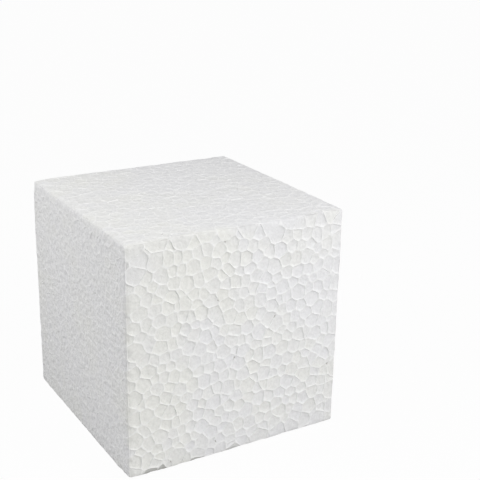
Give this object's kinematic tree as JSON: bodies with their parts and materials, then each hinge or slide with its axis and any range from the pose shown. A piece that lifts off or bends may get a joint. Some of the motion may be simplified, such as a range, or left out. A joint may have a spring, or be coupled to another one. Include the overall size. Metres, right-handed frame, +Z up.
{
  "type": "foam block",
  "caption": "White bead-foam cube with square edges; cut bead outlines show on every face as shallow hollows with raised rims.",
  "frame": {"origin": "middle of the flat base", "axes": "+Z up, -Y out of the front face, +X to the right of someone facing the front"},
  "size_m": [0.1, 0.1, 0.1],
  "materials": {
    "foam": "matte expanded-bead foam"
  },
  "bodies": {
    "root": {"foam_block": "foam"}
  },
  "joints": []
}
